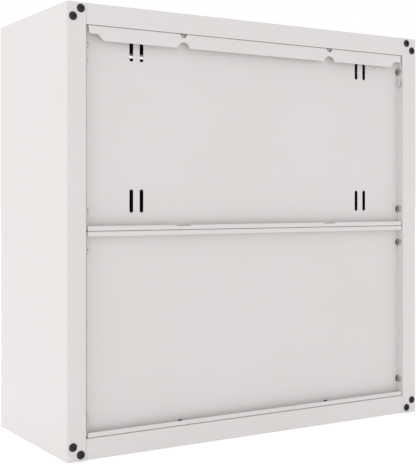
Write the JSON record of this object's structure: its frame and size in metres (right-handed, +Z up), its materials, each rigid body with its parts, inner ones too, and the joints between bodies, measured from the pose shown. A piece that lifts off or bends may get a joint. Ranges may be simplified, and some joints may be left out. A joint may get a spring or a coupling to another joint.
{
  "type": "hanging wall cabinet",
  "caption": "Steel cabinet that hangs on a wall: a box of folded sheet with slotted back trays, a pair of inset hinged doors with a cam lock, and a shelf on clips.",
  "frame": {"origin": "centre of the case's underside, midway between the wall plane and the front plane", "axes": "+Z up, +Y towards the wall that the cabinet hangs on, -Y out of the doors, +X to the right of someone facing the doors"},
  "size_m": [0.711, 0.3413, 0.711],
  "materials": {
    "case_paint": "fine-texture white powder coat, satin",
    "back_paint": "fine-texture white powder coat, satin",
    "door_paint": "fine-texture white powder coat, satin",
    "shelf_paint": "fine-texture white powder coat, satin",
    "black_screws": "black oxide on steel, slightly glossy",
    "handle_black": "black powder coat, satin",
    "zinc": "bright zinc plating",
    "lock_chrome": "polished chrome plating",
    "nylon": "natural nylon, matt",
    "ferrite": "dark grey ferrite, matt"
  },
  "bodies": {
    "cabinet": {"back_side_screw_left_1": "zinc", "back_side_screw_left_2": "zinc", "back_side_screw_left_3": "zinc", "back_side_screw_left_4": "zinc", "back_side_screw_right_1": "zinc", "back_side_screw_right_2": "zinc", "back_side_screw_right_3": "zinc", "back_side_screw_right_4": "zinc", "back_top_screw_left": "zinc", "back_top_screw_right": "zinc", "bottom_panel": "case_paint", "left_catch_housing": "nylon", "left_catch_magnet": "ferrite", "left_catch_yoke": "zinc", "left_front_shelf_clip": "zinc", "left_lower_hinge_pin": "zinc", "left_rear_shelf_clip": "zinc", "left_side_panel": "case_paint", "left_upper_hinge_pin": "zinc", "lower_back_panel": "back_paint", "rear_corner_screw_lower_left_inner": "black_screws", "rear_corner_screw_lower_left_outer": "black_screws", "rear_corner_screw_lower_right_inner": "black_screws", "rear_corner_screw_lower_right_outer": "black_screws", "rear_corner_screw_upper_left_inner": "black_screws", "rear_corner_screw_upper_left_outer": "black_screws", "rear_corner_screw_upper_right_inner": "black_screws", "rear_corner_screw_upper_right_outer": "black_screws", "right_catch_housing": "nylon", "right_catch_magnet": "ferrite", "right_catch_yoke": "zinc", "right_front_shelf_clip": "zinc", "right_lower_hinge_pin": "zinc", "right_rear_shelf_clip": "zinc", "right_side_panel": "case_paint", "right_upper_hinge_pin": "zinc", "shelf": "shelf_paint", "shelf_rib": "shelf_paint", "top_panel": "case_paint", "upper_back_panel": "back_paint"},
    "left_door": {"left_door": "door_paint", "left_door_stiffener": "door_paint", "left_upper_hinge_bush": "nylon", "left_lower_hinge_bush": "nylon", "left_door_handle": "handle_black", "left_strike_plate": "zinc", "bolt_guide": "zinc"},
    "right_door": {"right_door": "door_paint", "right_door_stiffener": "door_paint", "right_upper_hinge_bush": "nylon", "right_lower_hinge_bush": "nylon", "right_door_handle": "handle_black", "right_strike_plate": "zinc", "lock_barrel": "lock_chrome", "lock_nut": "zinc"},
    "lock": {"lock_plug": "lock_chrome", "lock_cam": "zinc", "lock_cam_screw": "zinc"},
    "bolt": {"door_bolt": "zinc"}
  },
  "joints": [
    {"name": "left_door_hinge", "type": "hinge", "parent": "cabinet", "child": "left_door", "pos_m": [-0.3122, -0.1465, 0.3555], "axis": [0, 0, -1], "range_deg": [0, 110]},
    {"name": "right_door_hinge", "type": "hinge", "parent": "cabinet", "child": "right_door", "pos_m": [0.3122, -0.1465, 0.3555], "axis": [0, 0, 1], "range_deg": [0, 110]},
    {"name": "lock_turn", "type": "hinge", "parent": "right_door", "child": "lock", "pos_m": [0.03, -0.1525, 0.652], "axis": [0, -1, 0], "range_deg": [0, 90]},
    {"name": "bolt_slide", "type": "slide", "parent": "left_door", "child": "bolt", "axis": [0, 0, 1], "range_m": [0, 0.014]}
  ]
}
